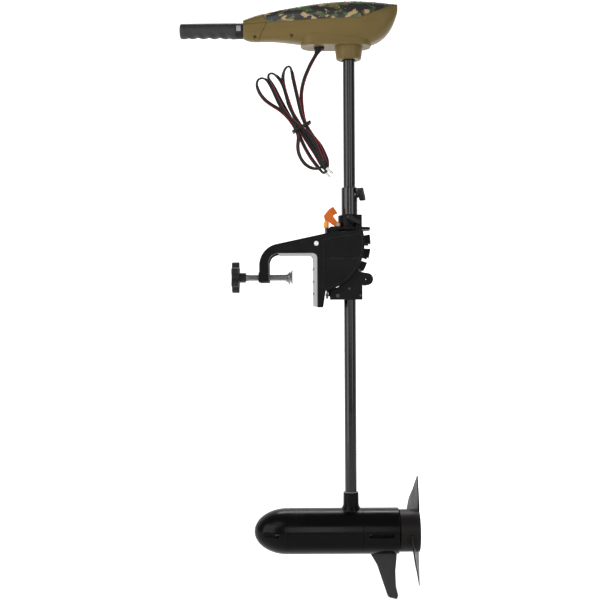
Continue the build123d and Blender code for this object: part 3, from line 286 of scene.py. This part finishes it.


# moulded: colour, roughness, grain scale and depth, spread of the colour, edge lightening (wear and
# painted highlight), edge radius
materials = {
    # the casting's and the quadrant coating's edges are lightened sixteen times: a painted highlight
    # rim along them, as along the side panel's arc
    "casting": moulded("satin_casting", (0.0045, 0.0045, 0.005), 0.42, 700, 0.00012, 0.15, 16.0, 0.0012,
                       shine=0.1),
    "quadrant": moulded("quadrant_coating", (0.0042, 0.0042, 0.005), 0.5, 600, 0.0001, 0.15,
                        16.0, 0.0012, shine=0.1),
    "carrier": moulded("glass_filled_plastic", (0.005, 0.005, 0.0055), 0.46, 800, 0.0001, 0.2, 4.0,
                       shine=0.12),
    "knob": moulded("knob_plastic", (0.013, 0.013, 0.0135), 0.5, 700, 0.0001, 0.2, 2.5),
    "pad": moulded("seat_pad", (0.42, 0.42, 0.42), 0.6, 500, 0.0001, 0.05, 1.1, 0.0012),
    "steel": brushed("turned_steel", (0.2, 0.197, 0.19), 0.32),
    # ribs darker than the pad: painted shade of the joints between its segments
    "rib": moulded("pad_rib", (0.12, 0.12, 0.12), 0.6, 500, 0.0001, 0.1, 1.3),
    "foot": brushed("pressed_foot", (0.2, 0.2, 0.195), 0.3, (300, 300, 300)),
    "dark_screw": brushed("dark_screw", (0.07, 0.07, 0.07), 0.35, (300, 300, 300)),
    "bright_bolt": brushed("bright_bolt", (0.5, 0.5, 0.5), 0.25),
    "lever": moulded("orange_plastic", (0.6, 0.125, 0.01), 0.4, 700, 0.00006, 0.08, 1.3),
    "ferrule": moulded("amber_plastic", (0.9, 0.36, 0.045), 0.42, 700, 0.00006, 0.06, 1.2),
    "rod": brushed("rod_steel", (0.08, 0.08, 0.08), 0.4, (900, 900, 30)),
    "acetal": moulded("acetal", (0.62, 0.6, 0.54), 0.5, 600, 0.00005, 0.05, 1.1),
    "shaft": moulded("shaft_coating", (0.004, 0.004, 0.0045), 0.18, 900, 0.00002, 0.1, 3.0, cloud=8,
                     shine=0.5),
    "collar": moulded("collar_plastic", (0.005, 0.005, 0.0055), 0.18, 900, 0.00002, 0.12, 3.0,
                      shine=0.6),
    "motor": moulded("motor_paint", (0.002, 0.002, 0.0025), 0.22, 420, 0.00003, 0.1, 3.0,
                     strength=0.2, cloud=6, shine=0.11),
    "skeg": moulded("skeg_plastic", (0.03, 0.03, 0.032), 0.5, 600, 0.00012, 0.15, 1.6),
    "propeller": moulded("propeller_plastic", (0.0085, 0.0075, 0.007), 0.4, 600, 0.00005, 0.15, 2.5,
                         shine=0.14),
    "rubber": moulded("black_rubber", (0.01, 0.01, 0.01), 0.62, 900, 0.00006, 0.15, 1.6),
    "khaki": moulded("khaki_plastic", KHAKI, 0.38, 1000, 0.00005, 0.06, 1.25, cloud=9, shine=0.15),
    "camo": camouflage("camouflage_print"),
    "tube": moulded("tiller_tube_black", (0.01, 0.01, 0.01), 0.4, 900, 0.00003),
    "grip": moulded("soft_grip", (0.02, 0.02, 0.021), 0.5, 1300, 0.0001, 0.15, 1.6, shine=0.4),
    "vinyl": moulded("cable_vinyl", (0.009, 0.009, 0.0095), 0.36, 1200, 0.00002, 0.2, 1.5, 0.0004),
    "red_vinyl": moulded("cable_stripe", (0.42, 0.035, 0.03), 0.4, 1200, 0.00002, 0.1, 1.1, 0.0004),
    "tie": moulded("tie_wrap", (0.012, 0.012, 0.012), 0.45, 1000, 0.00003),
    "sleeve": moulded("white_sleeve", (0.75, 0.75, 0.74), 0.5, 900, 0.00003, 0.04, 1.0, 0.0003),
    "tinned": brushed("tinned_copper", (0.75, 0.74, 0.72), 0.28, (300, 300, 300)),
    "magnet": moulded("ceramic_magnet", (0.05, 0.05, 0.052), 0.6),
    "copper": brushed("winding", (0.6, 0.26, 0.12), 0.35, (40, 500, 500)),
    "dial": moulded("dial_plastic", (0.012, 0.012, 0.012), 0.5, 900),
    "dial_patch": moulded("dial_patch", (0.3, 0.31, 0.33), 0.4, 900, 0.00002, 0.06, 1.1),
    "dial_print": moulded("dial_print", (0.6, 0.4, 0.12), 0.5, 900, 0.00001, 0.05, 1.0),
}

CAD_LOOK = {
    "casting": ["clamp_frame"], "quadrant": ["tilt_quadrants", "lock_pawl"],
    "carrier": ["tilt_carrier", "steering_ring"], "collar": ["depth_collar"],
    "knob": ["near_clamp_knob", "far_clamp_knob", "tension_knob", "depth_knob"],
    "pad": ["transom_pad"], "bright_bolt": ["tilt_pivot_bolt"],
    "foot": ["near_clamp_foot", "far_clamp_foot", "lever_pin"],
    "dark_screw": ["carrier_screws", "pawl_pin", "head_screws", "through_bolts"],
    "steel": ["tilt_pivot_nut", "rotor_shaft", "drive_pin", "prop_nut", "armature_bearings",
              "twist_rod", "near_clamp_screw", "far_clamp_screw"],
    "lever": ["release_lever"], "ferrule": ["rod_ferrule"], "rod": ["release_rod"],
    "acetal": ["steering_bushings", "tension_shoe", "depth_shoe", "brush_plate", "speed_switch",
               "shaft_retainer"],
    "shaft": ["shaft_tube"], "motor": ["motor_housing", "nose_cone", "rear_bell"],
    "skeg": ["skeg"], "propeller": ["propeller"],
    "rubber": ["end_o_rings", "shaft_seal", "cable_grommet", "motor_cable"],
    "magnet": ["field_magnets", "carbon_brushes"], "copper": ["armature"],
    "khaki": ["head_base", "nose_upper", "nose_lower"], "camo": ["head_cover"],
    "tube": ["tiller_tube"], "dial": ["dial_collar"], "grip": ["tiller_grip"],
    "tinned": ["battery_terminals"], "vinyl": ["power_lead", "lead_hank"], "tie": ["hank_tie"],
}
for look, names in CAD_LOOK.items():
    for name in names:
        mesh = nodes[name].data
        for index in range(len(mesh.materials)):
            mesh.materials[index] = materials[look]


# ---------------------------------------------------------------- mesh helpers
def add_piece(name, mesh, body, replaced=(), smooth=True):
    """Link a finished mesh as a piece of the object, riding on a body."""
    piece = bpy.data.objects.new(name, mesh)
    scene.collection.objects.link(piece)
    if smooth:
        mesh.shade_smooth()
        mesh.set_sharp_from_angle(angle=math.radians(35))
    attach(piece, body)
    if replaced:
        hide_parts(*replaced)
    return piece


def ring_mesh(name, rings, looks, closed_ends=True, face_look=None):
    """Skin a list of equal rings of points. face_look(ring, side) picks the material."""
    count = len(rings[0])
    verts = [point for ring in rings for point in ring]
    faces, picks = [], []
    for i in range(len(rings) - 1):
        for j in range(count):
            k = (j + 1) % count
            faces.append((i * count + j, i * count + k, (i + 1) * count + k, (i + 1) * count + j))
            picks.append(face_look(i, j) if face_look else 0)
    if closed_ends:
        faces.append(tuple(reversed(range(count))))
        faces.append(tuple(range((len(rings) - 1) * count, len(rings) * count)))
        picks += [0, 0]
    mesh = bpy.data.meshes.new(name)
    mesh.from_pydata(verts, [], faces)
    for look in looks:
        mesh.materials.append(materials[look])
    for polygon, pick in zip(mesh.polygons, picks):
        polygon.material_index = pick
    fixed = bmesh.new()
    fixed.from_mesh(mesh)
    bmesh.ops.recalc_face_normals(fixed, faces=fixed.faces)
    fixed.to_mesh(mesh)
    fixed.free()
    return mesh


def spline_points(name, route, resolution=8):
    """Points along one smooth open spline whose control points are the route."""
    curve = bpy.data.curves.new(name, "CURVE")
    curve.dimensions = "3D"
    curve.resolution_u = resolution
    spline = curve.splines.new("NURBS")
    spline.points.add(len(route) - 1)
    for point, place in zip(spline.points, route):
        point.co = (*place, 1)
    spline.order_u = 3
    spline.use_endpoint_u = True
    holder = bpy.data.objects.new(name, curve)
    scene.collection.objects.link(holder)
    bpy.context.view_layer.update()
    evaluated = holder.evaluated_get(bpy.context.evaluated_depsgraph_get())
    line = bpy.data.meshes.new_from_object(evaluated)
    points = [vertex.co.copy() for vertex in line.vertices]
    bpy.data.objects.remove(holder)
    bpy.data.meshes.remove(line)
    return points


# ---------------------------------------------------------------- tiller grip and dial
GRIP_RADIUS, GRIP_BORE_RADIUS, GRIP_WALL = 0.017, 0.0121, 0.013    # the wall closes the bore's end
HOLLOW_PITCH_MM, HOLLOW_DEPTH = 23, 2.5 * MM


def grip_ring(x, radius, finger=0.0, sides=56):
    """One section of the grip. Leaning finger hollows run along its underside."""
    ring = []
    for side in range(sides):
        around = 2 * math.pi * side / sides - math.pi       # 0 underneath, + towards the camera
        under = max(0.0, math.cos(around * 0.85)) ** 1.4 if abs(around) < 1.84 else 0.0
        hollow = 0.5 - 0.5 * math.cos(2 * math.pi * (x / MM + 9 * around) / HOLLOW_PITCH_MM)
        r = radius - HOLLOW_DEPTH * finger * under * hollow ** 0.75
        ring.append(Vector((x, -r * math.sin(around), TILLER_Z - r * math.cos(around))))
    return ring


def add_grip():
    """Soft grip with its blind bore, from the bore's end out over the rim to the rounded tip."""
    box_low, box_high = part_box("tiller_grip")
    low, high = box_low.x, box_high.x
    rings = [grip_ring(low + GRIP_WALL, GRIP_BORE_RADIUS), grip_ring(high, GRIP_BORE_RADIUS),
             grip_ring(high, 0.0158), grip_ring(high - 0.0006, 0.0166),
             grip_ring(high - 0.0016, GRIP_RADIUS)]
    steps = 84
    for step in range(steps + 1):
        share = step / steps
        x = high - 0.002 + (low + 0.0055 - high + 0.002) * share
        finger = min(1.0, max(0.0, (high - 0.010 - x) / 0.006), max(0.0, (x - low - 0.012) / 0.008))
        rings.append(grip_ring(x, GRIP_RADIUS - 0.001 * share, finger))
    for step in range(1, 7):
        turn = math.radians(15 * step)
        rings.append(grip_ring(low + 0.005 - 0.005 * math.sin(turn),
                               0.011 + 0.005 * math.cos(turn)))
    add_piece("soft_grip", ring_mesh("soft_grip", rings, ["grip"]), "grip",
              ("tiller_grip",))


DIAL_RADIUS = 0.0164


def dial_place(x, around, radius):
    """A spot on the dial collar; around is 0 facing the camera and 90 degrees at the top."""
    return Vector((x, -radius * math.cos(around), TILLER_Z + radius * math.sin(around)))


def add_dial_marks():
    """A grey patch on the camera's side of the dial, and small numbers round its top."""
    low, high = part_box("dial_collar")
    rings = []
    for step in range(13):
        around = math.radians(-12 + 41 * step / 12)
        rings.append([dial_place(low.x + 0.0006, around, 0.0160),
                      dial_place(low.x + 0.0006, around, 0.0167),
                      dial_place(high.x - 0.0042, around, 0.0167),
                      dial_place(high.x - 0.0042, around, 0.0160)])
    add_piece("dial_grey_patch", ring_mesh("dial_grey_patch", rings, ["dial_patch"]), "tiller")
    for number in range(1, 6):
        text = bpy.data.curves.new(f"number_{number}", "FONT")
        text.body, text.size, text.extrude = str(number), 0.0062, 0.0002
        text.align_x, text.align_y = "CENTER", "CENTER"
        holder = bpy.data.objects.new(f"number_{number}", text)
        scene.collection.objects.link(holder)
        bpy.context.view_layer.update()
        mesh = bpy.data.meshes.new_from_object(
            holder.evaluated_get(bpy.context.evaluated_depsgraph_get()))
        bpy.data.objects.remove(holder)
        centre = (low.x + high.x) / 2 - 0.0005
        for vertex in mesh.vertices:
            around = math.radians(40 + 22 * number) + vertex.co.y / DIAL_RADIUS
            vertex.co = dial_place(centre + vertex.co.x, around, 0.0165 + vertex.co.z)
        mesh.materials.clear()
        mesh.materials.append(materials["dial_print"])
        add_piece(f"dial_number_{number}", mesh, "tiller", smooth=False)


add_grip()
add_dial_marks()


# ---------------------------------------------------------------- clamp screws
THREAD_PITCH, THREAD_DEPTH = 0.003, 0.0011


def screw_ring(x, y, z, radius, thread=0.0, sides=24):
    """One section of a clamp screw; thread is how deep the helical groove cuts into it."""
    ring = []
    for side in range(sides):
        around = 2 * math.pi * side / sides
        phase = (x / THREAD_PITCH - side / sides) % 1.0
        valley = min(1.0, max(0.0, 1.5 - abs(phase - 0.5) * 4))
        r = radius - thread * valley
        ring.append(Vector((x, y + r * math.cos(around), z + r * math.sin(around))))
    return ring


def add_clamp_screw(side_name):
    """A plain end in the knob, a thread that fades at both ends, and a neck that carries the foot."""
    low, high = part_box(f"{side_name}_clamp_screw")
    centre_y, centre_z, crest = (low.y + high.y) / 2, (low.z + high.z) / 2, (high.z - low.z) / 2
    neck, neck_radius = high.x - 0.0055, 0.004
    rings = [screw_ring(low.x, centre_y, centre_z, crest),
             screw_ring(low.x + 0.012, centre_y, centre_z, crest)]
    steps = int((neck - low.x - 0.014) / (THREAD_PITCH / 10))
    for step in range(steps):
        x = low.x + 0.013 + step * THREAD_PITCH / 10
        fade = min(1.0, step / 10, (steps - 1 - step) / 8)
        rings.append(screw_ring(x, centre_y, centre_z, crest, THREAD_DEPTH * fade))
    rings += [screw_ring(neck, centre_y, centre_z, crest - 0.001),
              screw_ring(neck, centre_y, centre_z, neck_radius),
              screw_ring(high.x - 0.0008, centre_y, centre_z, neck_radius),
              screw_ring(high.x, centre_y, centre_z, 0.0032)]
    name = f"{side_name}_threaded_screw"
    add_piece(name, ring_mesh(name, rings, ["steel"]), f"{side_name}_screw",
              (f"{side_name}_clamp_screw",))


for side_name in ("near", "far"):
    add_clamp_screw(side_name)


# ---------------------------------------------------------------- ribs of the transom pad
def add_pad_rib(name, z):
    """A low half-round rib across the pad, between two of its segments, coloured darker than the pad as
    painted shade of the joint.
    """
    low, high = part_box("transom_pad")
    rings = []
    for y, radius in ((low.y - 0.0004, 0.0013), (low.y + 0.0002, 0.0018), (high.y - 0.0002, 0.0018),
                      (high.y + 0.0004, 0.0013)):
        rings.append([Vector((0.0004 - radius * math.cos(2 * math.pi * k / 20), y,
                              z + radius * math.sin(2 * math.pi * k / 20))) for k in range(20)])
    add_piece(name, ring_mesh(name, rings, ["rib"]), "transom_clamp")


for number, height in enumerate((0.0172, -0.0095, -0.0342)):
    add_pad_rib(f"pad_rib_{number + 1}", height)


# ---------------------------------------------------------------- bright ring on the motor's strut
def add_strut_ring():
    """A pale band round the shaft, standing on the top of the motor's strut."""
    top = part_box("motor_housing")[1].z
    profile = [(0.0127, -0.0004), (0.0127, 0.0006), (0.0143, 0.0006), (0.0149, 0.0), (0.0149, -0.0004)]
    rings = []
    for step in range(48):
        around = 2 * math.pi * step / 48
        rings.append([Vector((SHAFT_X + r * math.cos(around), r * math.sin(around), top + z))
                      for r, z in profile])
    mesh = ring_mesh("strut_ring", rings + rings[:1], ["pad"], closed_ends=False)
    fixed = bmesh.new()
    fixed.from_mesh(mesh)
    bmesh.ops.remove_doubles(fixed, verts=fixed.verts, dist=1e-6)
    fixed.to_mesh(mesh)
    fixed.free()
    add_piece("strut_ring", mesh, "drive_leg")


add_strut_ring()


# ---------------------------------------------------------------- propeller
BLADE_ROOT, BLADE_REACH = 0.046, 0.066      # from the axis, and from the root to near the tip
RAKE_SHARE, RAKE_POWER = 0.55, 1.2          # how far the tips are drawn aft, and how late


def add_propeller():
    """The moulded propeller with its blades raked aft and slimmer towards their tips."""
    source = nodes["propeller"]
    mesh = source.data.copy()
    mesh.transform(source.matrix_world)
    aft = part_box("propeller")[1].x - 0.001
    for vertex in mesh.vertices:
        reach = math.hypot(vertex.co.y, vertex.co.z - MOTOR_Z) - BLADE_ROOT
        if reach > 0:
            share = min(1.0, reach / BLADE_REACH)
            vertex.co.x += (aft - vertex.co.x) * RAKE_SHARE * share ** RAKE_POWER
    if "custom_normal" in mesh.attributes:
        mesh.attributes.remove(mesh.attributes["custom_normal"])
    add_piece("raked_propeller", mesh, "rotor", ("propeller",))


add_propeller()


# ---------------------------------------------------------------- power lead
# route of the flat twin lead in mm: out of the gland, through the tie, three tall loops
lead_route_mm = [
    # from the gland down through the tie to the foot of the hank
    (14, 0, 478), (7.8, 0, 468), (-2.2, -1, 450.5), (-10.3, -1, 433.4), (-18.1, -2, 413.3),
    (-23, -3, 390.2), (-22.8, -4, 368.1), (-20.3, -4, 346), (-16.6, -4, 327.9), (-10, -4, 311.9),
    (-2.1, -4, 299.8), (7.9, -4, 288.7), (17.9, -4, 275.7), (25.2, -4, 260.6), (30.4, -4, 247.6),
    # right loop, up and over
    (33.1, -3, 237.5), (30.2, -2, 228.5), (23, -1, 228.5), (17, 0, 239.5), (7.7, 0, 256.6),
    (-3.2, 0, 273.7), (-14.2, 0, 290.8), (-23.5, 0, 307.8), (-32.1, 0, 324.9), (-40, 0, 343),
    (-47.3, 0, 362.1), (-54.4, 0, 383.2), (-59.7, 0, 402.3), (-62.2, 0, 419.4),
    (-59.5, -1, 434.4), (-53.5, -2, 443.5), (-46.8, -4, 444.1), (-42.9, -6, 434.4),
    (-40.1, -8, 418.4), (-36.2, -8, 400.3), (-31.7, -8, 380.2), (-27.2, -8, 360.1),
    (-22.5, -8, 340), (-15, -8, 321.9), (-4.1, -8, 303.8), (6.9, -8, 287.7), (15.2, -8, 271.7),
    (21.2, -8, 256.6), (26.3, -7, 242.5),
    # middle loop
    (30.3, -4, 229.5), (28.6, 0, 220.4), (21, 3, 220.4), (11.6, 4, 232.5), (0.6, 4, 246.5),
    (-9.3, 4, 261.6), (-18.3, 4, 278.7), (-26.2, 4, 296.8), (-34.1, 4, 314.9), (-43.1, 4, 330.9),
    (-52, 4, 347), (-61.4, 4, 364.1), (-70.9, 4, 382.2), (-79.8, 4, 400.3), (-88.4, 4, 413.3),
    (-93.2, 2, 422.4), (-90.3, 0, 429.4), (-82.7, -2, 430), (-73.7, -3, 423.4),
    (-64.7, -4, 412.3), (-58.4, -4, 397.3), (-53.8, -4, 380.2), (-49.3, -4, 362.1),
    (-41, -4, 345), (-30.6, -4, 327.9), (-19.5, -4, 310.9), (-8.7, -4, 293.8), (1.8, -4, 277.7),
    (11.2, -4, 261.6), (18.3, -4, 246.5),
    # left loop, which starts with a bight to the lower left
    (21, -5, 235.1), (14.6, -6, 228.5), (3.5, -7, 227.9), (-7.9, -8, 231.5), (-19.1, -8, 240.5),
    (-27.5, -8, 254.6), (-31.4, -8, 270.7), (-30.1, -8, 285.7), (-29.2, -8, 297.8),
    (-35.6, -8, 312.9), (-45.1, -8, 327.9), (-56.1, -8, 341), (-69.5, -8, 352.5),
    (-84.1, -8, 361.1), (-98.1, -8, 371.1), (-109.1, -8, 384.2), (-115.4, -8, 398.3),
    (-116.6, -8, 409.3), (-111.9, -9, 416.8), (-103.8, -10, 418.4), (-95.2, -11, 414.3),
    (-87.3, -12, 403.3), (-80.5, -12, 389.2), (-74, -12, 374.2), (-67.4, -12, 360.1),
    (-58.1, -12, 346.4), (-46.1, -12, 333), (-33.5, -12, 320.9), (-21.1, -12, 311.5),
    (-9.1, -12, 302.8), (0.9, -12, 290.8), (7.2, -12, 276.7), (12.4, -11, 262.6),
    (18.7, -9, 248.6), (24.3, -6, 235.5), (28.6, -3, 225)]
LEAD_WIDTH, LEAD_THICKNESS = 0.008, 0.004
SECTION_SIDES = 22
STRIPE_SIDES = (1, 2)                       # the sides of the section that are red
LEAST_STEP = 0.0008                         # sections stand at least this far apart
STRAIGHT_TURN, TURN_RANGE = 0.22, 0.6       # radians: the bend where the twist starts, and its span
FULL_TWIST = math.radians(72)


def lead_section():
    """Outline of two round conductors joined side by side: (across, through) in metres."""
    section = []
    for index in range(SECTION_SIDES):
        angle = 2 * math.pi * index / SECTION_SIDES
        across = math.cos(angle)
        waist = 1 - 0.42 * math.exp(-(across / 0.22) ** 2)
        section.append((across * LEAD_WIDTH / 2,
                        math.copysign(min(1.0, abs(math.sin(angle)) * 1.35) * waist,
                                      math.sin(angle)) * LEAD_THICKNESS / 2))
    return section


def lead_rings(points, section):
    """Sections along the lead. Its flat side faces sideways on the runs and turns at the bends."""
    rings = []
    view_axis = Vector((0, 1, 0))
    last = len(points) - 1
    headings = [(points[min(i + 1, last)] - points[max(i - 1, 0)]).normalized()
                for i in range(last + 1)]
    apart, window = 6, 10                   # points over which a turn is measured, then averaged
    turning = [headings[max(i - apart, 0)].angle(headings[min(i + apart, last)])
               for i in range(last + 1)]
    for i in range(last + 1):
        span = turning[max(i - window, 0):i + window + 1]
        bend = sum(span) / len(span)
        twist = min(1.0, max(0.0, (bend - STRAIGHT_TURN) / TURN_RANGE)) * FULL_TWIST
        heading = headings[i]
        in_view = heading.cross(view_axis).normalized()
        through = in_view.cross(heading).normalized()
        wide = (in_view * math.cos(twist) + through * math.sin(twist)).normalized()
        thin = heading.cross(wide).normalized()
        rings.append([points[i] + wide * across + thin * depth for across, depth in section])
    return rings


def add_lead():
    """The whole flat lead as one piece, with a red stripe along one conductor."""
    points = spline_points("lead_line", [Vector(p) * MM for p in lead_route_mm])
    thinned = [points[0]]
    for point in points[1:]:
        if (point - thinned[-1]).length > LEAST_STEP:
            thinned.append(point)
    mesh = ring_mesh("lead", lead_rings(thinned, lead_section()), ["vinyl", "red_vinyl"],
                     face_look=lambda ring, side: 1 if side in STRIPE_SIDES else 0)
    lead = add_piece("battery_lead", mesh, "drive_leg", ("power_lead", "lead_hank"))
    return lead, thinned, sum((b - a).length for a, b in zip(thinned, thinned[1:]))


lead, lead_points, lead_length = add_lead()

# conductors that leave the end of the lead for the two terminals, under white sleeves:
# where the terminals' barrels start and the way they point, as in the CAD
TERMINAL_AXIS = Vector((0.7357, 0, -0.6773))
TERMINAL_BASES = [Vector((0.03205, -0.008, 0.22647)), Vector((0.02695, 0.002, 0.22093))]
CONDUCTOR_RADIUS = 0.0019
SLEEVE_PROFILE = [(-0.004, 0.0021), (-0.0038, 0.0028), (0, 0.0031), (0.006, 0.0031),
                  (0.0085, 0.0029), (0.0088, 0.0027)]       # (along the barrel, radius)


def tube_rings(points, radii, sides=16):
    """Round sections along a line, one radius to a point."""
    rings = []
    last = len(points) - 1
    for i, (point, radius) in enumerate(zip(points, radii)):
        heading = (points[min(i + 1, last)] - points[max(i - 1, 0)]).normalized()
        side = heading.orthogonal().normalized()
        up = heading.cross(side)
        rings.append([point + (side * math.cos(2 * math.pi * k / sides)
                               + up * math.sin(2 * math.pi * k / sides)) * radius
                      for k in range(sides)])
    return rings


def add_tail(number, base, look):
    """One conductor from the lead's end into its terminal, and the sleeve over the joint."""
    start = lead_points[-1] - TERMINAL_AXIS * 0.001
    route = [start, start.lerp(base, 0.35) + TERMINAL_AXIS * 0.0005, base - TERMINAL_AXIS * 0.0015,
             base + TERMINAL_AXIS * 0.004]
    line = spline_points(f"tail_line_{number}", route, 6)
    rings = tube_rings(line, [CONDUCTOR_RADIUS] * len(line))
    tail = add_piece(f"lead_tail_{number}", ring_mesh(f"tail_{number}", rings, [look]),
                     "drive_leg")
    rings = tube_rings([base + TERMINAL_AXIS * along for along, _ in SLEEVE_PROFILE],
                       [radius for _, radius in SLEEVE_PROFILE], 24)
    sleeve = add_piece(f"terminal_sleeve_{number}", ring_mesh(f"sleeve_{number}", rings, ["sleeve"]),
                       "drive_leg")
    return [tail, sleeve]


tails = (add_tail(1, TERMINAL_BASES[0], "red_vinyl") + add_tail(2, TERMINAL_BASES[1], "vinyl"))
